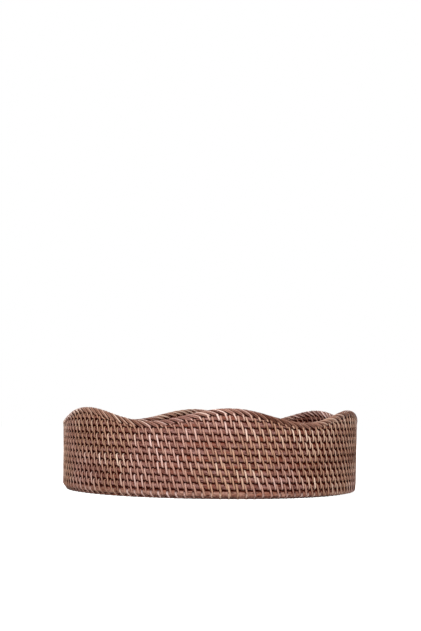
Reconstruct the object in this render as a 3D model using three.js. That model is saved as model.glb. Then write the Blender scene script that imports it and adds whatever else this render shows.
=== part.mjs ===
// Round rattan tray with a scalloped rim, 14 inches across.
//
// One long coil of cane makes the floor and the wall. It winds outward over the floor, turns up at
// the corner and climbs the wall, one turn on top of the next. Under each crest of the scalloped
// rim two short canes fill the rise, and a rim core with a plaited lashing over it caps the wall.
//
// Millimetres, +Z up. The origin is on the table, under the centre of the tray. The front is -Y.

import * as THREE from 'three';

// Driving dimensions, in millimetres, degrees and counts
const WALL_DIAMETER = 352; // over the canes, where the wall starts
const CANE_DIAMETER = 6.5; // canes of the floor, the wall and the crests
const TURN_GAP = 0.85; // between two turns, where the binding strip passes through
const TOUCH_GAP = 0.3; // between pieces that rest on each other
const CORNER_RADIUS = 4.4; // of the coil's centre line, from floor to wall
const WALL_LEAN = 0.8; // outward, from upright
const FIRST_TURN_PAST_FLOOR = 6.05; // round the corner, from the flat floor to the lowest wall turn
const WALL_TURNS = 10;
const FLOOR_START_RADIUS = 4.5; // centre line of the coil where it begins
const FLAT_CUT = 0.65; // off the round underside of the floor canes
const CREST_COUNT = 6;
const CREST_CANES = 2; // short canes stacked under each crest
const CREST_ANGLE = 7; // of the front crest, to the right of the front
const PARED_TIP = 2.2; // thickness that a cane is pared to where it ends under the rim
const RIM_CORE_DIAMETER = 4.8;
const LASHING_THICKNESS = 1.8; // the plaited lashing over the rim core

// Fineness of the faceted solids
const FLOOR_STEPS = 24; // along one turn
const WALL_STEPS = 48; // along one turn
const RIM_STEPS_PER_CREST = 16;
const LASHING_ARC_STEPS = 4; // over the top of the lashing

// Sizes worked out from the driving dimensions
const caneRadius = CANE_DIAMETER / 2;
const turnPitch = CANE_DIAMETER + TURN_GAP;
const floorHeight = caneRadius - FLAT_CUT;
const cornerStart = WALL_DIAMETER / 2 - caneRadius - CORNER_RADIUS;
const lean = THREE.MathUtils.degToRad(WALL_LEAN);
const cornerTurn = Math.PI / 2 - lean;
const cornerLength = CORNER_RADIUS * cornerTurn;
const crestAngle = THREE.MathUtils.degToRad(CREST_ANGLE);
const crestSpacing = (2 * Math.PI) / CREST_COUNT;
const lastTurn = WALL_TURNS - 1;

// The coil's centre line in a vertical section: along the floor, round the corner, up the wall.
// Gives the radius, the height and the slope of the line at a given length from the axis.
function profileAt(length) {
  const past = length - cornerStart;
  if (past <= 0) {
    return { radius: length, height: floorHeight, slope: 0 };
  }
  const slope = Math.min(past / CORNER_RADIUS, cornerTurn);
  const straight = Math.max(past - cornerLength, 0);
  return {
    radius: cornerStart + CORNER_RADIUS * Math.sin(slope) + straight * Math.cos(slope),
    height: floorHeight + CORNER_RADIUS * (1 - Math.cos(slope)) + straight * Math.sin(slope),
    slope,
  };
}

const firstTurnLength = cornerStart + FIRST_TURN_PAST_FLOOR;
const floorTurns = (firstTurnLength - FLOOR_START_RADIUS) / turnPitch;

// The rise of one turn into the next. Low turns climb evenly all the way round. The higher a turn,
// the more of its climb is made under the back crest, so that the last turn lies level.
function turnsClimbed(turn) {
  const whole = Math.round(turn);
  const even = turn - whole;
  const levelPart = 0.5 - 0.5 / CREST_COUNT;
  const across = THREE.MathUtils.smoothstep(Math.abs(even), levelPart, 1 - levelPart);
  const stepped = Math.sign(even) * across;
  const share = THREE.MathUtils.clamp(turn / (lastTurn - 0.5), 0, 1);
  return whole + (1 - share) * even + share * stepped;
}

// Turn 0 is the lowest wall turn at the front crest. Turns grow clockwise, seen from above.
function coilAt(turn) {
  const place = profileAt(firstTurnLength + turnPitch * turnsClimbed(turn));
  return { ...place, angle: crestAngle - 2 * Math.PI * turn, half: caneRadius };
}

const wallTop = coilAt(lastTurn).height + caneRadius;
const wallTopRadius = coilAt(lastTurn).radius;

// Radius of the wall's middle at a height
function wallRadiusAt(height) {
  return wallTopRadius + (height + caneRadius - wallTop) * Math.tan(lean);
}

// Underside of the rim: a smooth wave, level with the wall's top between the crests
function rimUnderside(angle) {
  const wave = (1 + Math.cos(CREST_COUNT * (angle - crestAngle))) / 2;
  return wallTop + TOUCH_GAP + CREST_CANES * turnPitch * wave;
}

// Point of the tray at an angle from the front, counter-clockwise seen from above
function pointAt(angle, radius, height) {
  return new THREE.Vector3(radius * Math.sin(angle), -radius * Math.cos(angle), height);
}

// Six-sided section of a cane. Two corners face the turns beside it, and a flat faces outward.
function caneSection({ angle, radius, height, slope, half }) {
  const corners = [];
  for (let i = 0; i < 6; i += 1) {
    const turnOf = (i * Math.PI) / 3;
    const along = half * Math.cos(turnOf);
    const across = caneRadius * Math.sin(turnOf);
    const outward = along * Math.cos(slope) + across * Math.sin(slope);
    const upward = along * Math.sin(slope) - across * Math.cos(slope);
    corners.push(pointAt(angle, radius + outward, Math.max(height + upward, 0)));
  }
  return corners;
}

// One closed body through a row of sections. A ring joins its last section to its first.
function sweep(sections, ring = false) {
  const sides = sections[0].length;
  const positions = sections.flat().flatMap((corner) => corner.toArray());
  const faces = [];
  const spans = ring ? sections.length : sections.length - 1;
  for (let i = 0; i < spans; i += 1) {
    const here = i * sides;
    const next = ((i + 1) % sections.length) * sides;
    for (let k = 0; k < sides; k += 1) {
      const other = (k + 1) % sides;
      faces.push(here + k, next + k, next + other);
      faces.push(here + k, next + other, here + other);
    }
  }
  if (!ring) {
    const end = (sections.length - 1) * sides;
    for (let k = 1; k < sides - 1; k += 1) {
      faces.push(0, k, k + 1);
      faces.push(end, end + k + 1, end + k);
    }
  }
  const geometry = new THREE.BufferGeometry();
  geometry.setAttribute('position', new THREE.Float32BufferAttribute(positions, 3));
  geometry.setIndex(faces);
  geometry.computeVertexNormals();
  return geometry;
}

const caneMaterial = new THREE.MeshStandardMaterial({ color: '#6a4630', roughness: 0.5, metalness: 0 });
const floorMaterial = new THREE.MeshStandardMaterial({ color: '#7a5538', roughness: 0.55, metalness: 0 });
const lashingMaterial = new THREE.MeshStandardMaterial({ color: '#8d6144', roughness: 0.5, metalness: 0 });

function namedMesh(name, geometry, material) {
  const mesh = new THREE.Mesh(geometry, material.clone());
  mesh.name = name;
  return mesh;
}

// Least distance between two neighbouring turns, less the cane, at the middles of the steps
function leastGap(stations, stepsPerTurn) {
  const middles = stations.slice(1).map((station, i) => {
    const before = stations[i];
    const from = pointAt(before.angle, before.radius, before.height);
    return from.lerp(pointAt(station.angle, station.radius, station.height), 0.5);
  });
  let least = Infinity;
  middles.forEach((middle, i) => {
    for (let j = i + stepsPerTurn / 2; j < Math.min(i + 1.5 * stepsPerTurn, middles.length); j += 1) {
      least = Math.min(least, middle.distanceTo(middles[j]) - CANE_DIAMETER);
    }
  });
  return least;
}

// Turn count at which the ends of two lengths of cane leave half of the touch gap each
const endClearance = TOUCH_GAP / 2 / (Math.PI * WALL_DIAMETER);

// The floor coil: one unbroken cane from the centre to the corner at the back
function makeFloorCoil() {
  const from = -floorTurns;
  const to = -0.5 - endClearance;
  const steps = Math.ceil((to - from) * FLOOR_STEPS);
  const stations = [];
  for (let i = 0; i <= steps; i += 1) {
    stations.push(coilAt(Math.max(to - (steps - i) / FLOOR_STEPS, from)));
  }
  console.log(`floor_coil: least gap to itself ${leastGap(stations, FLOOR_STEPS).toFixed(2)} mm`);
  return namedMesh('floor_coil', sweep(stations.map(caneSection)), floorMaterial);
}

// The last turn ends on the step of its own beginning, pared from below so that its top stays level
function lastTurnEnd(turn) {
  const below = coilAt(turn - 1);
  const bottom = Math.max(wallTop - CANE_DIAMETER, below.height + caneRadius + TURN_GAP);
  const half = (wallTop - bottom) / 2;
  const height = wallTop - half;
  return { ...below, angle: crestAngle - 2 * Math.PI * turn, radius: wallRadiusAt(height), height, half };
}

// One full turn of the wall, from the back round to the back
function makeWallRow(index) {
  const stations = [];
  const isLast = index === lastTurn;
  const from = index - 0.5 + endClearance;
  const to = index + 0.5 - endClearance;
  for (let i = 0; i <= WALL_STEPS; i += 1) {
    const turn = THREE.MathUtils.lerp(from, to, i / WALL_STEPS);
    stations.push(isLast && turn > index ? lastTurnEnd(turn) : coilAt(turn));
  }
  const name = `wall_row_${String(index + 1).padStart(2, '0')}`;
  return namedMesh(name, sweep(stations.map(caneSection)), caneMaterial);
}

// A short cane under a crest, the lowest at level 0. Its top follows the rim's underside where the
// rim comes down on it.
function makeCrestCane(crest, level) {
  const middle = crestAngle + crest * crestSpacing;
  const bottom = wallTop + TURN_GAP + level * turnPitch;
  const tipShare = (bottom + PARED_TIP - wallTop) / (CREST_CANES * turnPitch);
  const reach = Math.acos(2 * tipShare - 1) / CREST_COUNT;
  const step = crestSpacing / RIM_STEPS_PER_CREST;
  const inner = Math.ceil(reach / step) - 1;
  const offsets = [-reach];
  for (let i = -inner; i <= inner; i += 1) {
    offsets.push(i * step);
  }
  offsets.push(reach);
  const stations = offsets.reverse().map((offset) => {
    const angle = middle + offset;
    const top = Math.min(bottom + CANE_DIAMETER, rimUnderside(angle) - TOUCH_GAP);
    const height = (bottom + top) / 2;
    return { angle, radius: wallRadiusAt(height), height, slope: cornerTurn, half: (top - bottom) / 2 };
  });
  return namedMesh(`crest_${crest + 1}_cane_${level + 1}`, sweep(stations.map(caneSection)), caneMaterial);
}

// A ring that follows the rim's wave. The outline holds offsets outward and upward from the
// middle of the rim's underside.
function makeRimRing(name, outline, material) {
  const count = CREST_COUNT * RIM_STEPS_PER_CREST;
  const sections = [];
  for (let i = 0; i < count; i += 1) {
    const angle = crestAngle - (i * 2 * Math.PI) / count;
    const underside = rimUnderside(angle);
    const radius = wallRadiusAt(underside);
    sections.push(outline.map(([outward, upward]) => pointAt(angle, radius + outward, underside + upward)));
  }
  return namedMesh(name, sweep(sections, true), material);
}

function makeRimCore() {
  const radius = RIM_CORE_DIAMETER / 2;
  const outline = [];
  for (let i = 0; i < 6; i += 1) {
    const turnOf = (i * Math.PI) / 3;
    outline.push([radius * Math.sin(turnOf), radius + radius * Math.cos(turnOf)]);
  }
  return makeRimRing('rim_core', outline, caneMaterial);
}

// The plaited lashing: a sleeve with a round top over the rim core, open below
function makeRimLashing() {
  const slot = RIM_CORE_DIAMETER / 2 + TOUCH_GAP;
  const slotTop = RIM_CORE_DIAMETER + TOUCH_GAP;
  const side = slot + LASHING_THICKNESS;
  const springing = slotTop + LASHING_THICKNESS - side;
  const outline = [[-side, 0]];
  for (let i = 0; i <= LASHING_ARC_STEPS; i += 1) {
    const turnOf = (i * Math.PI) / LASHING_ARC_STEPS;
    outline.push([-side * Math.cos(turnOf), springing + side * Math.sin(turnOf)]);
  }
  outline.push([side, 0], [slot, 0], [slot, slotTop], [-slot, slotTop], [-slot, 0]);
  return makeRimRing('rim_lashing', outline, lashingMaterial);
}

const tray = new THREE.Group();
tray.add(makeFloorCoil());
for (let index = 0; index < WALL_TURNS; index += 1) {
  tray.add(makeWallRow(index));
}
for (let crest = 0; crest < CREST_COUNT; crest += 1) {
  for (let level = 0; level < CREST_CANES; level += 1) {
    tray.add(makeCrestCane(crest, level));
  }
}
tray.add(makeRimCore(), makeRimLashing());

export default tray;
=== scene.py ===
# %% [markdown]
# # A round rattan tray
#
# The tray is one long cane, coiled flat for the floor and then turn on turn for the wall. Narrow
# strips of split rattan bind each turn to the next, and a lashing of flat strands covers the
# wavy rim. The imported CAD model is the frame: it gives the place and size of every cane. This
# notebook replaces its six-sided canes with round ones and adds what the solids leave out, the
# binding strips and the strands of the rim.

# %% Load the frame
import math
import random
from collections import namedtuple

import bmesh
import bpy
from mathutils import Matrix, Vector


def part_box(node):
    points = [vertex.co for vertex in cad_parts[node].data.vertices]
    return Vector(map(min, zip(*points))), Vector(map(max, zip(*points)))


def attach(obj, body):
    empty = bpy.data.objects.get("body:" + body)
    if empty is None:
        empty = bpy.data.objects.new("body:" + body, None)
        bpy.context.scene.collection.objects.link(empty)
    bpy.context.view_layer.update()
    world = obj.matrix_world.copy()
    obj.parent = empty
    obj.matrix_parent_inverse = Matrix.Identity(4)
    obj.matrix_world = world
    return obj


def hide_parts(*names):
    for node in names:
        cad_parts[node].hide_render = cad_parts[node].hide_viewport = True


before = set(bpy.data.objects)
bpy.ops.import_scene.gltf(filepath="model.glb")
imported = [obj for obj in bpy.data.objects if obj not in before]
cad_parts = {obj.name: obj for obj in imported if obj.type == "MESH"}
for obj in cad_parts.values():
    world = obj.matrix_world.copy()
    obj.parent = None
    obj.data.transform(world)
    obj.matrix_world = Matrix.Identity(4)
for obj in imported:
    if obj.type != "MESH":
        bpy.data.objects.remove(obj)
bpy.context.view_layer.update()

# %% [markdown]
# ## The camera
#
# The photograph looks almost level at the tray, from between the rim's dips and its crests, with
# a long lens from about 1.4 m away. The tray stands low in the picture, so the camera is tipped up.
# The distance, height and lens come from the rows' curvature: the farther the camera, the
# flatter the bottom edge. The photograph is also turned by less than a degree, its right side
# lower, and a roll of the camera repeats that.

# %% Place the camera
IMAGE_SIZE = (421, 631)
CAMERA_DISTANCE = 1.410
CAMERA_HEIGHT = 0.0911
FOCAL_PIXELS = 1150.0
TILT_UP = math.radians(4.885)
PAN_LEFT = math.radians(0.058)
ROLL = math.radians(0.78)
SENSOR = 36.0

camera_data = bpy.data.cameras.new("portrait_camera")
camera_data.sensor_width = SENSOR
camera_data.lens = SENSOR * FOCAL_PIXELS / max(IMAGE_SIZE)
camera = bpy.data.objects.new("portrait_camera", camera_data)
bpy.context.scene.collection.objects.link(camera)
looking = Matrix.Rotation(PAN_LEFT, 4, "Z") @ Matrix.Rotation(math.pi / 2 + TILT_UP, 4, "X")
standing = Matrix.Translation((0, -CAMERA_DISTANCE, CAMERA_HEIGHT))
camera.matrix_world = standing @ looking @ Matrix.Rotation(ROLL, 4, "Z")
bpy.context.scene.camera = camera
print("lens:", round(camera_data.lens, 1), "mm")

# %% [markdown]
# ## The line of the cane
#
# Every cane, strip and strand follows the coil's centre line, so it comes first. In a vertical
# section the line runs along the floor, round the corner and up the wall. The coil is counted in
# turns: turn 0 is the lowest turn of the wall at the front, and the floor's turns are negative.
# These sizes are the part's own, in metres.

# %% Sizes of the tray
WALL_DIAMETER = 0.352
CANE_DIAMETER = 0.0065
TURN_GAP = 0.00085  # between two turns, where the binding strip passes through
TOUCH_GAP = 0.0003  # between pieces that rest on each other
CORNER_RADIUS = 0.0044  # of the coil's centre line, from floor to wall
WALL_LEAN = math.radians(0.8)  # outward, from upright
FIRST_TURN_PAST_FLOOR = 0.00605  # round the corner, from the flat floor to the lowest wall turn
WALL_TURNS = 10
FLOOR_START_RADIUS = 0.0045  # centre line of the coil where it begins
CENTRE_HOLE = 0.0002
START_TURNS = 1.0  # pared and bent in at the middle of the floor
LAST_TURN_TAIL = 0.04  # pared, over the climb of the turn below
FLAT_CUT = 0.00065  # off the round underside of the floor canes
CREST_COUNT = 6
CREST_CANES = 2  # under each crest
CREST_ANGLE = math.radians(7)  # of the front crest, to the right of the front
THIN_TIP = 0.0001  # of a crest cane, where it ends under the rim
RIM_CORE_DIAMETER = 0.0048
LASHING_THICKNESS = 0.0018

cane_radius = CANE_DIAMETER / 2
turn_pitch = CANE_DIAMETER + TURN_GAP
floor_height = cane_radius - FLAT_CUT
corner_start = WALL_DIAMETER / 2 - cane_radius - CORNER_RADIUS
corner_turn = math.pi / 2 - WALL_LEAN
crest_spacing = 2 * math.pi / CREST_COUNT
last_turn = WALL_TURNS - 1
first_turn_length = corner_start + FIRST_TURN_PAST_FLOOR
floor_turns = (first_turn_length - FLOOR_START_RADIUS) / turn_pitch
print("turns on the floor:", round(floor_turns, 1))

# %% The centre line of the coil
# A cane's place in a vertical section: its radius and height, the slope of the coil's line, and
# half its thickness along that line and across it.
Place = namedtuple("Place", "radius height slope half width")


def smooth_share(x, low, high):
    """0 below low, 1 above high, with a soft step between."""
    share = min(max((x - low) / (high - low), 0), 1)
    return share * share * (3 - 2 * share)


def profile_at(length):
    """Radius, height and slope at a length along the line from the centre to the rim."""
    past = length - corner_start
    if past <= 0:
        return length, floor_height, 0.0
    slope = min(past / CORNER_RADIUS, corner_turn)
    straight = max(past - CORNER_RADIUS * corner_turn, 0)
    radius = corner_start + CORNER_RADIUS * math.sin(slope) + straight * math.cos(slope)
    height = floor_height + CORNER_RADIUS * (1 - math.cos(slope)) + straight * math.sin(slope)
    return radius, height, slope


def turns_climbed(turn):
    """The turns the coil has climbed at a turn count. Low turns climb evenly. Higher up, more and
    more of the climb is left to the back crest."""
    whole = math.floor(turn + 0.5)
    even = turn - whole
    level_part = 0.5 - 0.5 / CREST_COUNT
    stepped = math.copysign(smooth_share(abs(even), level_part, 1 - level_part), even)
    share = min(max(turn / (last_turn - 0.5), 0), 1)
    return whole + (1 - share) * even + share * stepped


def coil_at(turn):
    """The whole cane at a turn count, on the floor or in the wall."""
    radius, height, slope = profile_at(first_turn_length + turn_pitch * turns_climbed(turn))
    return Place(radius, height, slope, cane_radius, cane_radius)


wall_top = coil_at(last_turn).height + cane_radius
wall_top_radius = coil_at(last_turn).radius


def wall_radius_at(height):
    return wall_top_radius + (height + cane_radius - wall_top) * math.tan(WALL_LEAN)


def last_turn_at(turn):
    """The wall's last turn, and the tail that is pared to lie level over the turn below."""
    if turn <= last_turn:
        return coil_at(turn)
    below = coil_at(turn - 1)
    bottom = max(wall_top - CANE_DIAMETER, below.height + cane_radius + TURN_GAP)
    half = (wall_top - bottom) / 2
    height = wall_top - half
    return Place(wall_radius_at(height), height, corner_turn, half, cane_radius)


def cane_at(turn):
    return coil_at(turn) if turn < last_turn else last_turn_at(turn)


def start_at(turn):
    """The cane's first bend, pared so that it fills the middle of the floor."""
    outer = coil_at(turn).radius + cane_radius
    inner = max(outer - CANE_DIAMETER, CENTRE_HOLE)
    return Place((outer + inner) / 2, floor_height, 0.0, (outer - inner) / 2, cane_radius)


row_low, row_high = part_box("wall_row_05")
start_height, end_height = [round(cane_at(turn).height, 4) for turn in (3.5, 4.5)]
print("row 5 spans", round(row_low.z, 4), "to", round(row_high.z, 4), "m in the CAD model, and its")
print("middle line starts at", start_height, "and ends at", end_height)

# %% The crest canes and the rim
def angle_of(turn):
    """Seen from above the coil runs clockwise. Its count is whole at the front crest."""
    return CREST_ANGLE - 2 * math.pi * turn


def from_crest(angle):
    """Angle to the nearest crest of the rim."""
    return (angle - CREST_ANGLE + crest_spacing / 2) % crest_spacing - crest_spacing / 2


def rim_underside(angle):
    """Height of the wave on which the rim rests."""
    wave = (1 + math.cos(CREST_COUNT * (angle - CREST_ANGLE))) / 2
    return wall_top + TOUCH_GAP + CREST_CANES * turn_pitch * wave


def crest_reach(level):
    """Angle from a crest to where its cane of that level ends, pared thin, under the rim."""
    bottom = wall_top + TURN_GAP + level * turn_pitch
    tip_share = (bottom + THIN_TIP - wall_top) / (CREST_CANES * turn_pitch)
    return math.acos(2 * tip_share - 1) / CREST_COUNT


def crest_cane_at(angle, level):
    """A crest cane, pared on top where the rim comes down to it."""
    bottom = wall_top + TURN_GAP + level * turn_pitch
    top = min(bottom + CANE_DIAMETER, rim_underside(angle) - TOUCH_GAP)
    height = (bottom + top) / 2
    return Place(wall_radius_at(height), height, corner_turn, (top - bottom) / 2, cane_radius)


def rim_core_at(angle):
    radius = RIM_CORE_DIAMETER / 2
    height = rim_underside(angle) + radius
    return Place(wall_radius_at(height), height, corner_turn, radius, radius)


def layer_at(turn, layer):
    """The cane of a layer over the wall's last turn, at the angle of a turn count."""
    angle = angle_of(turn)
    if layer < CREST_CANES and abs(from_crest(angle)) < crest_reach(layer):
        return crest_cane_at(angle, layer)
    return rim_core_at(angle)


print("crest canes reach", [round(math.degrees(crest_reach(k)), 1) for k in (0, 1)], "degrees")

# %% [markdown]
# ## From a flat model to the tray
#
# A coiled tray is hard to model in place, and easy to model flat. Each cane is made as a straight
# rod, each strip as a straight ribbon, and one function then lays its points along the coil. The
# flat place of each point is kept in an attribute named flat, in metres along, out and up, so that
# the grain of the materials runs along the cane wherever it bends. On a cane the third part is the
# measure of its painted crevice shade and painted contact shadow, which is mostly its height.

# %% Helpers that lay a flat model on the tray
def point_at(angle, radius, height):
    """A point of the tray. Its angle is counted from the front towards the right."""
    return Vector((radius * math.sin(angle), -radius * math.cos(angle), height))


def coil_length(turn):
    """Length of cane from turn 0, negative on the floor."""
    if turn >= 0:
        return 2 * math.pi * first_turn_length * turn
    return 2 * math.pi * (first_turn_length * turn + turn_pitch * turn * turn / 2)


def turn_of(length):
    """The turn count that a length of cane has reached."""
    if length >= 0:
        return length / (2 * math.pi * first_turn_length)
    inside = first_turn_length**2 + turn_pitch * length / math.pi
    return (math.sqrt(inside) - first_turn_length) / turn_pitch


STITCHES_PER_TURN = 120.5
STRIP_CORNERS = 5  # of a strip's section. Faces with more corners are the cut ends of canes

stitch_spacing = coil_length(1) / STITCHES_PER_TURN
print("from one stitch of a row to the next:", round(1000 * stitch_spacing, 1), "mm")


def finish_piece(name, bm, material, slot, *nodes):
    """Turns a bmesh into a finished piece that rides on the tray."""
    for face in bm.faces:
        face.smooth = len(face.verts) <= STRIP_CORNERS
    mesh = bpy.data.meshes.new(name)
    bm.to_mesh(mesh)
    bm.free()
    mesh.materials.append(material)
    piece = bpy.data.objects.new(name, mesh)
    bpy.context.scene.collection.objects.link(piece)
    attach(piece, "root")
    if nodes:
        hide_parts(*nodes)


# %% [markdown]
# ## Materials
#
# The canes are whole rattan with its skin on, given a purple brown stain and a satin lacquer.
# Stain takes unevenly, so the colour drifts between reddish, greyish and dark along each cane.
# Shade is painted dark where two canes meet and beside each strip, most of all at the tray's left
# and right sides, and a painted contact shadow darkens the lowest cane where it stands. The binding
# strips are split rattan, which takes less stain: cream to tan, each strip a little different. They
# are painted palest over the upper cane and darker at the foot, as light falls from above, and
# take painted shade where they tuck in. Both share the same long fibres, so the fibres are one node
# group that every material uses with its own scales.

# %% Colours and a helper for nodes
def shade(red, green, blue):
    """A colour as painters' programs give it, 0 to 255, turned into light."""
    parts = [x / 255 for x in (red, green, blue)]
    light = [x / 12.92 if x <= 0.04045 else ((x + 0.055) / 1.055) ** 2.4 for x in parts]
    return (*light, 1.0)


def add_node(tree, kind, place, **inputs):
    node = tree.nodes.new(kind)
    node.location = place
    for name, value in inputs.items():
        node.inputs[name.replace("_", " ")].default_value = value
    return node


def blend_colours(tree, place, share, first, second, way="MIX"):
    """Blends two colours. A Mix node's sockets share names, so they are found by their type."""
    mix = add_node(tree, "ShaderNodeMix", place)
    mix.data_type = "RGBA"
    mix.blend_type = way
    one, two = [socket for socket in mix.inputs if socket.type == "RGBA"]
    for value, socket in ((share, mix.inputs[0]), (first, one), (second, two)):
        if isinstance(value, bpy.types.NodeSocket):
            tree.links.new(value, socket)
        else:
            socket.default_value = value
    return next(socket for socket in mix.outputs if socket.type == "RGBA")


def spread_of(tree, place, value, low, high, to_low=0.0, to_high=1.0, soft=True):
    """Maps the part of a value between low and high to another range."""
    spread = add_node(tree, "ShaderNodeMapRange", place)
    spread.interpolation_type = "SMOOTHSTEP" if soft else "LINEAR"
    limits = {"From Min": low, "From Max": high, "To Min": to_low, "To Max": to_high}
    for name, number in limits.items():
        spread.inputs[name].default_value = number
    tree.links.new(value, spread.inputs["Value"])
    return spread.outputs["Result"]


# The colour of painted shade in crevices and where strips tuck in; on a strip's cut edges it also
# stands for stain
CREVICE_SHADE_AND_STAIN = shade(56, 14, 5)
LACQUER_UP_TO = 0.6  # the share of painted crevice shade at which the lacquer ends

# %% A node group for long fibres
def start_group(name, colours, result, result_kind):
    """A node group with the given colours and the flat place to read, stretched by a scale."""
    group = bpy.data.node_groups.new(name, "ShaderNodeTree")
    sockets = {"Flat Place": "NodeSocketVector", "Scale": "NodeSocketVector"}
    sockets.update((colour, "NodeSocketColor") for colour in colours)
    for socket, kind in sockets.items():
        group.interface.new_socket(socket, in_out="INPUT", socket_type=kind)
    group.interface.new_socket(result, in_out="OUTPUT", socket_type=result_kind)
    ends_in = add_node(group, "NodeGroupInput", (-1100, 0))
    ends_out = add_node(group, "NodeGroupOutput", (700, 0))
    stretch = add_node(group, "ShaderNodeVectorMath", (-880, 0))
    stretch.operation = "MULTIPLY"
    group.links.new(ends_in.outputs["Flat Place"], stretch.inputs[0])
    group.links.new(ends_in.outputs["Scale"], stretch.inputs[1])
    return group, ends_in.outputs, stretch.outputs["Vector"], ends_out.inputs[result]


def patches_of(tree, flat, place, scale, low, high, detail, rough, soft=True):
    """Noise that is 0 below low and 1 above high."""
    noise = add_node(tree, "ShaderNodeTexNoise", place, Scale=scale, Detail=detail, Roughness=rough)
    tree.links.new(flat, noise.inputs["Vector"])
    beside = (place[0] + 200, place[1])
    return spread_of(tree, beside, noise.outputs["Fac"], low, high, soft=soft)


def make_fibre_group():
    group, _, flat, result = start_group("rattan_fibres", (), "Fibres", "NodeSocketFloat")
    fibres = patches_of(group, flat, (-600, 0), 1.0, 0.3, 0.7, 4.0, 0.65, soft=False)
    group.links.new(fibres, result)
    return group


fibre_group = make_fibre_group()

# %% A node group for uneven stain
# Each sort of patch: its scale, and from where to where in the noise it grows.
PALE_PATCHES = (1.0, 0.4, 0.64)
RED_PATCHES = (0.4, 0.47, 0.7)
DARK_FLECKS = (2.5, 0.5, 0.68)
PATCH_EDGE = (3.0, 0.6)  # the noise's detail and roughness
STAINS = ("Dark", "Middle", "Light", "Reddish")


def make_stain_group():
    group, ends, flat, result = start_group("uneven_stain", STAINS, "Color", "NodeSocketColor")
    pale = patches_of(group, flat, (-600, 300), *PALE_PATCHES, *PATCH_EDGE)
    red = patches_of(group, flat, (-600, 0), *RED_PATCHES, *PATCH_EDGE)
    dark = patches_of(group, flat, (-600, -300), *DARK_FLECKS, *PATCH_EDGE)
    colour = blend_colours(group, (-100, 200), pale, ends["Middle"], ends["Light"])
    colour = blend_colours(group, (150, 100), red, colour, ends["Reddish"])
    colour = blend_colours(group, (400, 0), dark, colour, ends["Dark"])
    group.links.new(colour, result)
    return group


stain_group = make_stain_group()

# %% What the materials share
def start_material(name, **shared):
    """A material, its node tree and its Principled shader, with numbers for its sockets."""
    material = bpy.data.materials.new(name)
    material.use_nodes = True
    surface = material.node_tree.nodes["Principled BSDF"]
    for socket, number in shared.items():
        surface.inputs[socket.replace("_", " ")].default_value = number
    return material, material.node_tree, surface


def read_attribute(tree, name, place):
    reader = add_node(tree, "ShaderNodeAttribute", place)
    reader.attribute_name = name
    return reader.outputs


def place_group(tree, group, flat, place, **values):
    """A node group that reads the flat place of a point."""
    node = add_node(tree, "ShaderNodeGroup", place)
    node.node_tree = group
    for socket, value in values.items():
        node.inputs[socket].default_value = value
    tree.links.new(flat, node.inputs["Flat Place"])
    return node.outputs[0]


def do_sum(tree, kind, place, *values):
    """A Math node whose inputs are numbers or sockets."""
    node = add_node(tree, "ShaderNodeMath", place)
    node.operation = kind
    for value, socket in zip(values, node.inputs):
        if isinstance(value, bpy.types.NodeSocket):
            tree.links.new(value, socket)
        else:
            socket.default_value = value
    return node.outputs["Value"]


def dress_surface(tree, surface, colour, fibres, hidden, grain, rough, coat, relief):
    """Grains a colour along its fibres, paints shade over it where it is hidden, and makes it satin
    where it is open. Grain and rough are ranges, and relief is the bump's strength and its height."""
    tint = spread_of(tree, (-600, -100), fibres, 0, 1, *grain, soft=False)
    grained = blend_colours(tree, (-350, 200), 1.0, colour, tint, "MULTIPLY")
    # Painted shade: hidden parts take the colour of shade in a crevice.
    stain_and_shade = blend_colours(tree, (-150, 100), hidden, grained, CREVICE_SHADE_AND_STAIN)
    tree.links.new(stain_and_shade, surface.inputs["Base Color"])
    roughness = spread_of(tree, (-350, -150), fibres, 0, 1, *rough, soft=False)
    tree.links.new(roughness, surface.inputs["Roughness"])
    lacquer = spread_of(tree, (-300, -550), hidden, 0, LACQUER_UP_TO, coat, 0.0)
    tree.links.new(lacquer, surface.inputs["Coat Weight"])
    strength, height = relief
    bump = add_node(tree, "ShaderNodeBump", (-150, -400), Strength=strength, Distance=height)
    tree.links.new(fibres, bump.inputs["Height"])
    tree.links.new(bump.outputs["Normal"], surface.inputs["Normal"])


# %% The canes' material
# Scales are in waves to the metre, along the cane, out of it and up. Lengths are in radii.
STAIN_SCALE = (60, 260, 260)
CANE_FIBRES = (150, 1000, 1000)
CREVICE_FROM, CREVICE_TO = 0.56, 0.92  # from a cane's middle line, up or down, where the painted crevice shade sets in and is full
STRIP_SHADE = 0.5  # how much further the painted crevice shade spreads beside a strip
SIDE_SHADE = 0.32  # how much further the painted shade spreads at the tray's left and right sides
SIDES_FROM_TO = (0.06, 0.14)  # in metres from the tray's middle, where that sets in and is full
BESIDE_STRIP = (0.1, 0.21)  # in stitches, where the painted shade beside a strip fades


def under_strips(tree, along, out, up):
    """1 where a binding strip crosses the cane's upper edge outside. Its lower edge is crossed half
    a stitch on, and so is its inner side."""
    below = do_sum(tree, "LESS_THAN", (-1250, -800), up, 0.0)
    inside = do_sum(tree, "LESS_THAN", (-1250, -950), out, 0.0)
    halves = do_sum(tree, "ADD", (-1100, -800), below, inside)
    half_on = do_sum(tree, "MULTIPLY", (-950, -800), halves, 0.5)
    stitches = do_sum(tree, "MULTIPLY_ADD", (-800, -800), along, 1 / stitch_spacing, half_on)
    distance = do_sum(tree, "PINGPONG", (-650, -800), stitches, 0.5)
    return spread_of(tree, (-500, -800), distance, *BESIDE_STRIP, 1.0, 0.0)


def tray_sides(tree, place):
    """0 at the front and back of the tray, 1 at its left and right sides."""
    corner = add_node(tree, "ShaderNodeTexCoord", place)
    parts = add_node(tree, "ShaderNodeSeparateXYZ", (place[0] + 200, place[1]))
    tree.links.new(corner.outputs["Object"], parts.inputs["Vector"])
    sideways = do_sum(tree, "ABSOLUTE", (place[0] + 400, place[1]), parts.outputs["X"])
    return spread_of(tree, (place[0] + 600, place[1]), sideways, *SIDES_FROM_TO)


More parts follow.
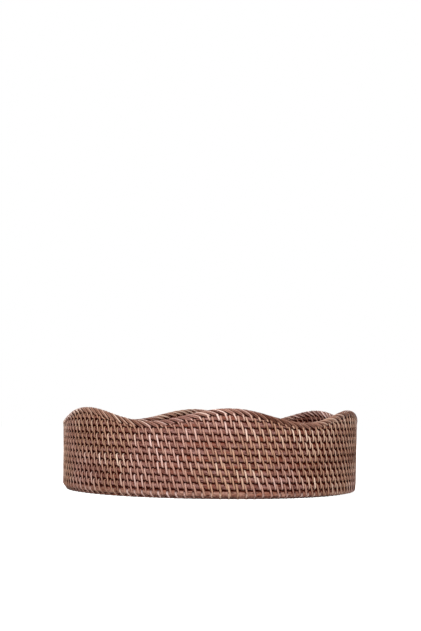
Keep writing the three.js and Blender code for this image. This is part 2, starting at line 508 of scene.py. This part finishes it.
def cane_material(name, colours, side_shade=0.0):
    """Whole cane with uneven stain of four colours, and painted shade in its crevices and beside
    its strips, on the wall more at the tray's left and right sides.
    """
    material, tree, surface = start_material(name, Specular_IOR_Level=0.01, Coat_Roughness=0.3)
    flat = read_attribute(tree, "flat", (-1400, 0))["Vector"]
    named = dict(zip(STAINS, colours))
    stain = place_group(tree, stain_group, flat, (-900, 300), Scale=STAIN_SCALE, **named)
    fibres = place_group(tree, fibre_group, flat, (-900, -100), Scale=CANE_FIBRES)

    parts = add_node(tree, "ShaderNodeSeparateXYZ", (-1200, -400))
    tree.links.new(flat, parts.inputs["Vector"])
    side = do_sum(tree, "ABSOLUTE", (-1000, -400), parts.outputs["Z"])
    # Painted shade: the crevice's shade spreads beside each strip and, on the wall, at the tray's
    # left and right sides.
    shaded = under_strips(tree, *parts.outputs)
    side = do_sum(tree, "MULTIPLY_ADD", (-850, -400), shaded, STRIP_SHADE * cane_radius, side)
    if side_shade:
        sides = tray_sides(tree, (-1400, -1150))
        side = do_sum(tree, "MULTIPLY_ADD", (-700, -400), sides, side_shade * cane_radius, side)
    crevice_limits = CREVICE_FROM * cane_radius, CREVICE_TO * cane_radius
    crevice = spread_of(tree, (-550, -400), side, *crevice_limits)
    dress_surface(
        tree, surface, stain, fibres, crevice,
        grain=(0.62, 1.3), rough=(0.36, 0.58), coat=0.04, relief=(0.4, 0.0002),
    )
    return material


# Four colours each, in the order of STAINS.
wall_stain = shade(62, 33, 26), shade(108, 69, 60), shade(144, 106, 99), shade(118, 67, 52)
# The floor's colours are lighter than the wall's, partly as painted light, the bounce from the
# white table onto the lowest row.
floor_stain_and_bounce = shade(76, 45, 35), shade(125, 84, 70), shade(160, 121, 107), shade(137, 86, 69)
# The rim core's colours are painted shade: the core is the same cane, dark where the slits between
# the strands show it.
core_shade = shade(24, 8, 5), shade(36, 14, 9), shade(48, 24, 18), shade(42, 14, 7)
wall_cane_material = cane_material("stained_wall_cane_with_painted_shade", wall_stain, SIDE_SHADE)
floor_cane_material = cane_material("stained_floor_cane_with_painted_light_and_shade", floor_stain_and_bounce)
core_material = cane_material("shaded_rim_core", core_shade)

# %% The material of the split strips
STRIP_FIBRES = (3200, 90, 1500)  # waves to the metre, across the strip, along it and through it
AGE_DRIFT = 11.0  # changes of tint to the metre
ROSY, YELLOWED = (1.0, 0.93, 0.97, 1.0), (1.0, 0.96, 0.86, 1.0)


def strip_material(name, pale, tan, brown, tucked_from):
    """Each strip has its own tone, kept in an attribute with its painted light and shade, and takes
    painted shade where it tucks in and along its edges.
    """
    material, tree, surface = start_material(name, Specular_IOR_Level=0.01, Coat_Roughness=0.2)
    flat = read_attribute(tree, "flat", (-1200, 0))["Vector"]
    tone = read_attribute(tree, "tone", (-1200, 300))["Fac"]
    tucked = read_attribute(tree, "tucked", (-1200, -300))["Fac"]
    fibres = place_group(tree, fibre_group, flat, (-900, -100), Scale=STRIP_FIBRES)

    ramp = add_node(tree, "ShaderNodeValToRGB", (-900, 300))
    steps = ramp.color_ramp.elements
    steps[0].color = brown
    steps[1].color = pale
    steps.new(0.5).color = tan
    tree.links.new(tone, ramp.inputs["Fac"])
    corner = add_node(tree, "ShaderNodeTexCoord", (-1200, 600))
    drift = add_node(tree, "ShaderNodeTexNoise", (-950, 600), Scale=AGE_DRIFT, Detail=2.0)
    tree.links.new(corner.outputs["Object"], drift.inputs["Vector"])
    age = spread_of(tree, (-750, 600), drift.outputs["Fac"], 0.4, 0.6)
    aged = blend_colours(tree, (-550, 500), age, ROSY, YELLOWED)
    aged_tone = blend_colours(tree, (-450, 350), 1.0, ramp.outputs["Color"], aged, "MULTIPLY")
    # Painted shade where the strip tucks in, and stain with painted shade along its edges.
    end = spread_of(tree, (-600, -350), tucked, tucked_from, 1.0)
    dress_surface(
        tree, surface, aged_tone, fibres, end,
        grain=(0.74, 1.12), rough=(0.3, 0.5), coat=0.18, relief=(0.3, 0.0001),
    )
    return material


binding_material = strip_material(
    "split_binding_strip", shade(240, 216, 204), shade(176, 138, 120), shade(106, 66, 52), 0.25
)
strand_material = strip_material(
    "split_rim_strand", shade(228, 203, 192), shade(145, 107, 94), shade(84, 49, 38), 0.5
)

# %% [markdown]
# ## The canes
#
# A cane is a rod: a cylinder whose long edges are cut into many short ones, so that it can bend.
# The canes are round, and the binding presses them together until they touch, so the section is
# a little deeper along the wall than across it. Each cane is made straight, of length 1, and is
# stretched along its part of the coil as it is laid. The floor's canes are worn flat where they
# stand.

# %% A straight cane, laid along the coil
CANE_SIDES = 14
PRESSED = 0.00043  # how far the binding presses a cane into the gap beside it, at the least
OVERLAP = 0.00001  # so that no light comes between two canes
STANDING = 0.0004  # the height of the canes' worn undersides over the table
FREE_SIDE = 0.2  # the painted crevice shade's measure on a side that lies free
STANDING_SHADE = 1.5  # and on the side it stands on, which is painted dark all over as contact shadow
STANDING_LINE = 0.0006  # the height up to which the lowest cane is painted dark as contact shadow
FURTHER_ROUND = 0.75  # the share of the bend still ahead at which the next turn lies


def straight_cane(steps):
    """A rod of length 1 along x and of radius 1, closed at both ends. Two of its long edges face
    the canes beside it, so that the canes meet without a gap."""
    bm = bmesh.new()
    bmesh.ops.create_cone(bm, cap_ends=True, segments=CANE_SIDES, radius1=1, radius2=1, depth=1)
    half_side = Matrix.Rotation(math.pi / CANE_SIDES, 3, "Z")
    lying = Matrix.Rotation(math.pi / 2, 3, "Y") @ half_side
    bmesh.ops.rotate(bm, verts=bm.verts, cent=(0, 0, 0), matrix=lying)
    bmesh.ops.translate(bm, verts=bm.verts, vec=(0.5, 0, 0))
    long_edges = [e for e in bm.edges if abs(e.verts[0].co.x - e.verts[1].co.x) > 0.5]
    bmesh.ops.subdivide_edges(bm, edges=long_edges, cuts=steps - 1)
    return bm


def pressed_at(turn, along):
    """How far a cane is pressed into the gap above it, or below it where along is negative. The
    gaps differ a little, because the turns change from climbing evenly to lying level."""
    lower = turn if along > 0 else turn - 1
    gap = turn_pitch * (turns_climbed(lower + 1) - turns_climbed(lower)) - CANE_DIAMETER
    return max(PRESSED, gap / 2 + OVERLAP)


def crevice_shade_at(turn, slope, out, up, height):
    """How far up or down its section a point of a cane counts, in radii, for the painted shade of
    crevices. Round the corner, from turn -1.5 to 0.5, nothing lies against the cane's outer side,
    and the next turn lies further round than the coil's slope says. Where the cane stands it is
    painted dark, as contact shadow."""
    if turn < -1.5 or turn > 0.5:
        return up
    # Painted contact shadow where the lowest cane stands.
    if height < STANDING_LINE:
        return STANDING_SHADE
    if turn > -0.5:
        round_more = FURTHER_ROUND * (corner_turn - slope)
        return max(up * math.cos(round_more) - out * math.sin(round_more), -FREE_SIDE)
    return min(up, FREE_SIDE)


def lay_cane(bm, turn_at, place_at):
    """Lays a straight cane along the coil. turn_at gives the turn count at a share of its length.
    Laying it mirrors it, so its faces are turned over."""
    flat = bm.verts.layers.float_vector.new("flat")
    for vert in bm.verts:
        share, across, along = vert.co
        turn = turn_at(share)
        place = place_at(turn)
        out, up = -across * place.width, along * (place.half + pressed_at(turn, along))
        radius = place.radius + up * math.cos(place.slope) + out * math.sin(place.slope)
        height = place.height + up * math.sin(place.slope) - out * math.cos(place.slope)
        # Painted shade: how far the point lies in crevice shade and contact shadow, kept in flat's
        # third part.
        shade_place = crevice_shade_at(turn, place.slope, -across, up / place.half, height)
        vert[flat] = (coil_length(turn), out, shade_place * cane_radius)
        vert.co = point_at(angle_of(turn), radius, max(height, STANDING))
    bmesh.ops.reverse_faces(bm, faces=bm.faces)
    return bm


# %% The floor's coil
STEPS_PER_TURN = 96  # the same on every turn of the floor, so that neighbouring turns fit

coiled = floor_turns - 0.5
floor_rod = lay_cane(
    straight_cane(round(coiled * STEPS_PER_TURN)),
    lambda share: share * coiled - floor_turns,
    coil_at,
)
finish_piece("floor_cane", floor_rod, floor_cane_material, "floor_cane", "floor_coil")
start_rod = lay_cane(
    straight_cane(round(START_TURNS * STEPS_PER_TURN)),
    lambda share: (share - 1) * START_TURNS - floor_turns,
    start_at,
)
finish_piece("floor_cane_start", start_rod, floor_cane_material, "floor_cane")
print("the floor's cane is", round(coil_length(-0.5) - coil_length(-floor_turns), 2), "m long")

# %% The wall's ten turns
WALL_STEPS = 144

# The lowest row, at the floor's edge, has the floor's colours, painted lighter than the wall's as
# bounce light from the white table.
for row in range(WALL_TURNS):
    turns = 1 + LAST_TURN_TAIL if row == last_turn else 1
    rod = lay_cane(straight_cane(WALL_STEPS), lambda share: row - 0.5 + share * turns, cane_at)
    name = f"wall_row_{row + 1:02d}"
    material = wall_cane_material if row else floor_cane_material
    finish_piece(name + "_cane", rod, material, "wall_cane", name)
print("each turn of the wall takes", round(coil_length(1), 2), "m of cane")

# %% The short canes under the crests
CREST_STEPS = 24

for crest in range(CREST_COUNT):
    for level in range(CREST_CANES):
        reach = crest_reach(level) / (2 * math.pi)
        middle = WALL_TURNS + level - crest / CREST_COUNT
        rod = lay_cane(
            straight_cane(CREST_STEPS),
            lambda share: middle + (2 * share - 1) * reach,
            lambda turn: crest_cane_at(angle_of(turn), level),
        )
        name = f"crest_{crest + 1}_cane_{level + 1}"
        finish_piece(name + "_round", rod, wall_cane_material, "wall_cane", name)
print("crest canes:", CREST_COUNT * CREST_CANES)

# %% [markdown]
# ## The binding strips
#
# A strip of split rattan winds round two turns of cane at a time. Outside it crosses both canes
# almost upright, leaning a little to the right on its way down, slips in under the lower cane,
# and comes up inside to the start of the next stitch. There are 120 and a half stitches to a
# turn, so each row's stitches fall halfway between those of the row below. One stitch is
# modelled flat, as a short ribbon with a rounded back, and copied along each row. Each copy
# gets its own lean, width and tone, as a hand-bound tray has them.

# %% One stitch as a straight ribbon
STITCH_WIDTH = 0.0022
STITCH_THICKNESS = 0.00075
STITCH_LEAN = 0.0031  # sideways from the top of a stitch to its foot, outside

# The route round two canes: which cane the strip lies on, 1 the upper and 0 the lower, and the
# direction from that cane's middle, in degrees from straight out.
STITCH_ROUTE = [(1, 90), (1, 64), (1, 38), (1, 12), (0, -12), (0, -38), (0, -64), (0, -90)]
STITCH_ROUTE += [(0, -116), (0, -142), (0, -168), (1, -192), (1, -218), (1, -244), (1, -270)]
FOOT = 7  # the station where the outer part ends, under the lower cane


def ribbon(stations):
    """A straight ribbon: across it x from -0.5 to 0.5, along it y in stations, its back z up to 1.
    It is inside out, because laying it on the tray mirrors it."""
    bm = bmesh.new()
    bmesh.ops.create_circle(bm, cap_ends=True, segments=STRIP_CORNERS, radius=1)
    outline = [(-0.5, 0.0), (-0.47, 0.55), (0.0, 1.0), (0.47, 0.55), (0.5, 0.0)]
    for vert, (x, z) in zip(bm.verts, outline):
        vert.co = (x, 0, z)
    end = list(bm.faces)
    for station in range(1, stations):
        grown = bmesh.ops.extrude_face_region(bm, geom=end)["geom"]
        if station > 1:
            bmesh.ops.delete(bm, geom=end, context="FACES_ONLY")
        end = [item for item in grown if isinstance(item, bmesh.types.BMFace)]
        moved = [item for item in grown if isinstance(item, bmesh.types.BMVert)]
        bmesh.ops.translate(bm, verts=moved, vec=(0, 1, 0))
    bmesh.ops.recalc_face_normals(bm, faces=bm.faces)
    bmesh.ops.reverse_faces(bm, faces=bm.faces)
    return bm


stitch = ribbon(len(STITCH_ROUTE))
print("one stitch has", len(stitch.faces), "faces")

# %% Lay copies of a ribbon
hand = random.Random(14)
FIBRE_SHIFT = 10  # metres, so that no two strips show the same fibres


def lay_ribbons(pattern, strips, size, lay_point, tone_at, tucked_at):
    """Copies a straight ribbon for every strip. Size is a station's length and the thickness."""
    station_length, thickness = size
    bm = bmesh.new()
    master = bpy.data.meshes.new("pattern")
    pattern.to_mesh(master)
    bm.from_mesh(master)
    bpy.data.meshes.remove(master)
    flat = bm.verts.layers.float_vector.new("flat")
    tone = bm.verts.layers.float.new("tone")
    tucked = bm.verts.layers.float.new("tucked")
    first = list(bm.verts) + list(bm.edges) + list(bm.faces)
    corners = [vert.co.copy() for vert in bm.verts]
    for strip in strips:
        copy = bmesh.ops.duplicate(bm, geom=first)["geom"]
        verts = [item for item in copy if isinstance(item, bmesh.types.BMVert)]
        start = hand.uniform(0, FIBRE_SHIFT)
        for vert, corner in zip(verts, corners):
            across = start + corner.x * strip.width
            along = start + corner.y * station_length
            vert[flat] = (across, along, corner.z * thickness)
            vert[tone] = tone_at(corner, strip)
            vert[tucked] = tucked_at(corner)
            vert.co = lay_point(corner, strip)
    bmesh.ops.delete(bm, geom=first[: len(corners)], context="VERTS")
    return bm


# %% Lay a stitch round two canes
STITCH_TONE = 0.67  # from 0, brown, to 1, pale
TONE_SPREAD = 0.07
TONE_KEPT = 0.88  # what a stitch takes over from the one before it
TONE_STEP = 0.055
FOOT_SHADE = 0.46  # how much darker a strip is painted at its foot than at its top, as shade with light from above
LEANS = (0.7, 1.3)  # from the straightest to the most slanted, in shares of STITCH_LEAN
WIDTHS = (0.85, 1.12)  # from the narrowest to the widest, in shares of STITCH_WIDTH
NARROWEST_TURN = 0.004  # the radius at which the strips in the middle of the floor are spread
EDGE_STAIN_AND_SHADE = 0.85  # how dark a strip's cut edges are, from stain gone into them and from painted shade

Stitch = namedtuple("Stitch", "turn lower upper width lean tone")
wander = [0.0]  # the tone that neighbouring stitches share


def make_stitch(turn, lower, upper):
    wander[0] = TONE_KEPT * wander[0] + hand.gauss(0, TONE_STEP)
    tone = STITCH_TONE + wander[0] + hand.gauss(0, TONE_SPREAD)
    lean = STITCH_LEAN * hand.uniform(*LEANS)
    return Stitch(turn, lower, upper, STITCH_WIDTH * hand.uniform(*WIDTHS), lean, tone)


def lay_stitch_point(corner, one):
    """Where a corner of the straight ribbon comes to lie, round the stitch's two canes."""
    here = min(max(round(corner.y), 0), len(STITCH_ROUTE) - 1)
    which, degrees = STITCH_ROUTE[here]
    turned = math.radians(degrees)
    lower, upper = one.lower, one.upper
    rise = Vector((upper.radius - lower.radius, upper.height - lower.height)).normalized()
    outward = Vector((rise.y, -rise.x))
    cane = upper if which else lower
    lift = corner.z * STITCH_THICKNESS
    place = Vector((cane.radius, cane.height))
    place += outward * math.cos(turned) * (cane.width + lift)
    place += rise * math.sin(turned) * (cane.half + lift)
    middle = Vector((lower.radius + upper.radius, lower.height + upper.height)) / 2
    reach = math.hypot(upper.radius - lower.radius, upper.height - lower.height) / 2 + upper.half
    climb = min(max((place - middle).dot(rise) / reach, -1), 1)
    slide = -one.lean / 2 * climb
    if here > FOOT:
        slide = one.lean / 2 + (climb + 1) / 2 * (stitch_spacing - one.lean)
    bend = max(lower.radius, NARROWEST_TURN)
    angle = angle_of(one.turn) + (corner.x * one.width + slide) / bend
    return point_at(angle, place.x, max(place.y, STANDING * (1 - corner.z)))


def stitch_tone_and_light(corner, one):
    """A strip's own tone, with painted light: palest over the upper cane and darker at its foot."""
    # Painted light and shade: the tone falls from the top of the strip to its foot, as light falls
    # from above.
    return min(max(one.tone - FOOT_SHADE * min(corner.y / FOOT, 1), 0), 1)


def stitch_tucked(corner):
    """0 where the strip lies open, 1 where it enters a gap, as painted shade, and dark along its
    cut edges with stain and painted shade.
    """
    degrees = abs(STITCH_ROUTE[round(corner.y)][1])
    entered = abs(degrees - 180) / 90 if degrees > 90 else degrees / 90
    return max(entered, EDGE_STAIN_AND_SHADE * (1 - corner.z**2))


STATION_LENGTH = 0.0018  # of a stitch's ribbon, for the run of the grain
stitch_size = (STATION_LENGTH, STITCH_THICKNESS)


def bind(name, stitches, slot):
    """Makes one piece of a list of stitches, and counts them."""
    rows = lay_ribbons(
        stitch, stitches, stitch_size, lay_stitch_point, stitch_tone_and_light, stitch_tucked
    )
    finish_piece(name, rows, binding_material, slot)
    return len(stitches)


# %% Bind the floor
FLOOR_RINGS = 4
CORNER_LEAN = 0.45  # the strips turn under the tray more upright than the others
COIL_SLIP = 0.06  # in stitches, how far one strays from its place in the row


def coil_stitches(first_turn, past_turn):
    """Stitches that bind the coil to its own next turn, from one turn count to another."""
    found = []
    first = math.ceil(coil_length(first_turn) / stitch_spacing)
    past = math.ceil(coil_length(past_turn) / stitch_spacing)
    for count in range(first, past):
        turn = turn_of((count + hand.uniform(-COIL_SLIP, COIL_SLIP)) * stitch_spacing)
        found.append(make_stitch(turn, cane_at(turn), cane_at(turn + 1)))
    return found


bound = 0
ring_edges = [-floor_turns + (floor_turns - 1.5) * k / FLOOR_RINGS for k in range(FLOOR_RINGS + 1)]
for ring in range(FLOOR_RINGS):
    stitches = coil_stitches(ring_edges[ring], ring_edges[ring + 1])
    bound += bind(f"floor_binding_{ring + 1}", stitches, "floor_cane")
corner_stitches = coil_stitches(-1.5, -0.5)
corner_stitches = [one._replace(lean=CORNER_LEAN * one.lean) for one in corner_stitches]
bound += bind("corner_binding", corner_stitches, "wall_cane")
print("stitches on the floor and round its corner:", bound)

# %% Bind the wall
RIM_HOLD_HEIGHT = 0.0006  # the middle of what a stitch grips of the rim, over its underside
RIM_HOLD_HALF = 0.0014
RIM_HOLD_WIDTH = 0.0036
TOP_SLIP = 0.05  # in stitches, as COIL_SLIP for the rows at the rim

for row in range(WALL_TURNS - 1):
    bind(f"wall_row_{row + 1:02d}_binding", coil_stitches(row - 0.5, row + 0.5), "wall_cane")


def hold_at(turn, layer):
    """What a stitch over a layer goes round: a crest cane, or the lower edge of the rim."""
    place = layer_at(turn, layer)
    if place.width < cane_radius:
        height = rim_underside(angle_of(turn)) + RIM_HOLD_HEIGHT
        return Place(place.radius, height, place.slope, RIM_HOLD_HALF, RIM_HOLD_WIDTH)
    return place


def top_stitches(layer):
    """Stitches that bind the wall's last turn, layer -1, or a crest cane to what lies over it."""
    found = []
    shift = 0.5 if layer % 2 else 0
    half_row = round(STITCHES_PER_TURN) // 2
    for count in range(-half_row, half_row):
        turn = (count + shift + hand.uniform(-TOP_SLIP, TOP_SLIP)) / STITCHES_PER_TURN
        if layer < 0:
            found.append(make_stitch(turn, last_turn_at(last_turn + turn), hold_at(turn, 0)))
        elif abs(from_crest(angle_of(turn))) < crest_reach(layer):
            found.append(make_stitch(turn, layer_at(turn, layer), hold_at(turn, layer + 1)))
    return found


bind("wall_row_10_binding", top_stitches(-1), "wall_cane")
bind("crest_cane_1_binding", top_stitches(0), "wall_cane")
bind("crest_cane_2_binding", top_stitches(1), "wall_cane")

# %% [markdown]
# ## The rim
#
# Flat strands wrap the rim over a core cane. Each one starts inside, under the rim, runs over
# the top and down the outside at a shallow slant, and tucks in over the wall's top row. They lie
# in bands of two, one band for each stitch of the wall, with a dark slit between the bands, where
# the core cane is painted dark as shade. Here too the strand is made straight, turned to its slant
# while everything is flat, and then bent over the rim's section and round its six waves.

# %% The rim's section, as a line from inside over the top to outside
RIM_DROP = 0.0008  # how far the strands reach down over the top row
RIM_LEAN_IN = 0.0009  # how much closer together the rim's two faces are at their lower edges
TUCK_SLOPE = 1.5  # how steeply the strands' ends turn in past the lower edge

rim_side = RIM_CORE_DIAMETER / 2 + TOUCH_GAP + LASHING_THICKNESS
rim_springing = RIM_CORE_DIAMETER + TOUCH_GAP + LASHING_THICKNESS - rim_side
rim_face = rim_springing + RIM_DROP
rim_path_length = 2 * rim_face + math.pi * rim_side


def rim_section(length, lift):
    """Offset outward and upward from the middle of the rim's underside."""
    side = rim_side + lift
    from_edge = min(length, rim_path_length - length)
    if from_edge >= rim_face:
        turned = (length - rim_face) / rim_side
        return -side * math.cos(turned), rim_springing + side * math.sin(turned)
    down = 1 - from_edge / rim_face
    side -= RIM_LEAN_IN * down * down + TUCK_SLOPE * max(-from_edge, 0)
    return math.copysign(side, length - rim_path_length / 2), max(from_edge, 0) - RIM_DROP


def rim_point(angle, length, lift):
    """A point of the rim, at a length along its section and lifted off it."""
    outward, upward = rim_section(length, lift)
    underside = rim_underside(angle)
    return point_at(angle, wall_radius_at(underside) + outward, underside + upward)


print("the rim is", round(2000 * rim_side, 1), "mm wide")

# %% The core under the strands
STRAND_THICKNESS = 0.0009
CORE_SINK = 0.0011  # how far it lies inside the strands' outer faces
CORE_DROP = 0.0006  # how far it reaches down between the canes, so that no light comes under it
CORE_LENGTH = 1.1  # round the tray, for the grain
CORE_STEPS = 216
SAME_PLACE = 0.00001  # closer points are one


def lay_core(bm):
    """Bends a rod into a closed ring, its underside cut level between the canes."""
    flat = bm.verts.layers.float_vector.new("flat")
    for vert in bm.verts:
        share, across, along = vert.co
        angle = -2 * math.pi * share
        vert[flat] = (share * CORE_LENGTH, -across * cane_radius, along * cane_radius)
        reach = rim_side - CORE_SINK
        underside = rim_underside(angle)
        upward = max(rim_springing + along * reach, -CORE_DROP)
        vert.co = point_at(angle, wall_radius_at(underside) - across * reach, underside + upward)
    bmesh.ops.remove_doubles(bm, verts=bm.verts, dist=SAME_PLACE)
    bmesh.ops.recalc_face_normals(bm, faces=bm.faces)
    return bm


core = straight_cane(CORE_STEPS)
bmesh.ops.delete(core, geom=[f for f in core.faces if len(f.verts) > 4], context="FACES_ONLY")
finish_piece("rim_core_cane", lay_core(core), core_material, "wall_cane", "rim_core")

# %% One strand, laid over the rim
STRAND_WIDTH = 0.0019
STRANDS_APART = 0.0020  # from the middle of one strand of a band to the middle of the other
STRAND_SLANT = math.radians(30)
STRAND_STATIONS = 17
STRAND_END = 0.001  # tucked in past the lower edge
HOLE_TO_STITCH = 0.0030  # from the slit between two bands to the stitch that comes up in it
TAPER_FROM = 0.45  # towards its ends a strand narrows from here, 0 being its middle
TAPER = 0.35
TUCKED_FROM_TO = (0.6, 0.95)  # and here it darkens, as painted shade

BANDS = round(STITCHES_PER_TURN)
strand_length = (rim_path_length + 2 * STRAND_END) / math.sin(STRAND_SLANT)
slit_run = rim_path_length / 2 / math.tan(STRAND_SLANT)
first_slit = CREST_ANGLE + (stitch_spacing / 2 - HOLE_TO_STITCH - slit_run) / wall_top_radius
strand = ribbon(STRAND_STATIONS)
Strand = namedtuple("Strand", "start beside width lift tone")


def end_share(corner):
    """0 at the middle of a strand, 1 at its outer end and -1 at its inner one."""
    return 2 * corner.y / (STRAND_STATIONS - 1) - 1


def lay_strand_point(corner, one):
    """Turns the straight strand to its slant, and bends it over the rim."""
    along = end_share(corner) * strand_length / 2
    narrow = 1 - TAPER * smooth_share(abs(end_share(corner)), TAPER_FROM, 1)
    across = (corner.x * one.width + one.beside) * narrow
    ahead = along * math.cos(STRAND_SLANT) + across * math.sin(STRAND_SLANT)
    length = rim_path_length / 2 + along * math.sin(STRAND_SLANT) - across * math.cos(STRAND_SLANT)
    angle = one.start + ahead / wall_top_radius
    return rim_point(angle, length, one.lift - STRAND_THICKNESS * (1 - corner.z))


def strand_tone(corner, one):
    """A strand has one tone all along."""
    return min(max(one.tone, 0), 1)


def strand_tucked(corner):
    """1 at the two ends, as painted shade where they tuck in, and dark along the edges that face
    the slits, with stain and painted shade.
    """
    end = smooth_share(abs(end_share(corner)), *TUCKED_FROM_TO)
    return max(end, EDGE_STAIN_AND_SHADE * (1 - corner.z))


print("a strand is", round(1000 * strand_length, 1), "mm long")

# %% All the strands
# Lengths of the rim with duller strands: the angle of the middle, the reach in degrees, how dull.
# The length at 68 degrees is painted shade, where the crest on the right lies in shade from the
# lamp in front.
DULL_AND_SHADED_LENGTHS = ((22, 14, 0.36), (68, 13, 0.34))
STRAND_TONES_AND_HIGHLIGHT = (0.3, 0.66)  # of the lower and the upper strand of a band; the upper one is painted lighter, as highlight
STRAND_TONE_SPREAD = 0.13
STRAND_WIDTHS = (0.9, 1.06)  # in shares of STRAND_WIDTH
BAND_SLIP = 0.04  # in bands, how far one strays from its place
LIFT_SPREAD = 0.0001  # how far a strand strays up or down
LOWER_SINK = 0.00015  # how much deeper a band's lower strand lies


def dullness(angle):
    """How much tone the strands lose at an angle."""
    total = 0.0
    for middle, reach, dull in DULL_AND_SHADED_LENGTHS:
        total += dull * math.exp(-(((math.degrees(angle) - middle) / reach) ** 2))
    return total


def make_bands():
    found = []
    for band in range(BANDS):
        place = band + 0.5 + hand.uniform(-BAND_SLIP, BAND_SLIP)
        start = first_slit + 2 * math.pi * place / BANDS
        # Strands are darker along the listed lengths; at 68 degrees this is painted shade.
        dull = dullness(math.remainder(start, 2 * math.pi))
        for upper in (0, 1):
            beside = (upper - 0.5) * STRANDS_APART
            width = STRAND_WIDTH * hand.uniform(*STRAND_WIDTHS)
            lift = hand.uniform(-LIFT_SPREAD, LIFT_SPREAD) - (0.0 if upper else LOWER_SINK)
            # Painted highlight: the upper strand of each band takes the higher tone.
            tone = hand.gauss(STRAND_TONES_AND_HIGHLIGHT[upper], STRAND_TONE_SPREAD) - dull
            found.append(Strand(start, beside, width, lift, tone))
    return found


hand.seed(5)
strands = make_bands()
rim_size = (strand_length / (STRAND_STATIONS - 1), STRAND_THICKNESS)
lashing = lay_ribbons(strand, strands, rim_size, lay_strand_point, strand_tone, strand_tucked)
finish_piece("rim_strands", lashing, strand_material, "rim_lashing", "rim_lashing")
print("strands:", len(strands))

# %% [markdown]
# ## Floor, backdrop and light
#
# The tray stands on a white floor that runs into a white background. The floor shows as white to
# the camera and still takes the tray's shadow. A soft lamp hangs high in front, so that each cane
# shades the crevice below it, and a weak one stands low beside it. Two lamps behind and one above
# show the back and the inside.

# %% White to the eye, dim as a lamp
def seen_as_white(tree, otherwise, white):
    """A strength for what the camera, a reflection or a clear material shows, and another for
    light."""
    rays = add_node(tree, "ShaderNodeLightPath", (-1000, -200))
    total = rays.outputs["Is Camera Ray"]
    for step, kind in enumerate(("Is Glossy Ray", "Is Transmission Ray")):
        total = do_sum(tree, "MAXIMUM", (-800 + 200 * step, -200), total, rays.outputs[kind])
    return spread_of(tree, (-300, -200), total, 0, 1, otherwise, white, soft=False)


# %% The floor
TABLE_REACH = 6  # metres each way
TABLE_GREY = 0.8
WHITENING = 0.95
PURE_WHITE = (1, 1, 1, 1)

floor_mesh = bmesh.new()
bmesh.ops.create_grid(floor_mesh, x_segments=1, y_segments=1, size=TABLE_REACH)
mesh = bpy.data.meshes.new("table_top")
floor_mesh.to_mesh(mesh)
floor_mesh.free()
table_top = bpy.data.objects.new("table_top", mesh)
bpy.context.scene.collection.objects.link(table_top)

white, tree, surface = start_material("white_table", Roughness=0.9, Specular_IOR_Level=0.0)
surface.inputs["Base Color"].default_value = (TABLE_GREY, TABLE_GREY, TABLE_GREY, 1)
surface.inputs["Emission Color"].default_value = PURE_WHITE
tree.links.new(seen_as_white(tree, 0.0, WHITENING), surface.inputs["Emission Strength"])
table_top.data.materials.append(white)

# %% The lamps and the world
WORLD_LIGHT = 0.07
TRAY_MIDDLE = Vector((0, 0, 0.05))


def soft_lamp(name, place, size, power):
    """A square lamp that faces the tray, its size in metres and its power in watts."""
    data = bpy.data.lights.new(name, "AREA")
    data.shape = "SQUARE"
    data.size = size
    data.energy = power
    lamp = bpy.data.objects.new(name, data)
    lamp.location = place
    aim = TRAY_MIDDLE - Vector(place)
    lamp.rotation_euler = aim.to_track_quat("-Z", "Y").to_euler()
    bpy.context.scene.collection.objects.link(lamp)


soft_lamp("lamp_front", (-0.08, -1.6, 1.1), 0.4, 33)
soft_lamp("lamp_low", (-0.2, -1.8, 0.5), 0.5, 8)
soft_lamp("lamp_back_left", (-1.2, 1.6, 1.3), 0.5, 18)
soft_lamp("lamp_back_right", (1.2, 1.6, 1.3), 0.5, 18)
soft_lamp("lamp_top", (0.1, 0.1, 1.9), 0.8, 14)

world = bpy.data.worlds.new("white_studio")
bpy.context.scene.world = world
world.use_nodes = True
tree = world.node_tree
background = tree.nodes["Background"]
background.inputs["Color"].default_value = PURE_WHITE
tree.links.new(seen_as_white(tree, WORLD_LIGHT, 1.0), background.inputs["Strength"])
bpy.context.scene.view_settings.view_transform = "Standard"
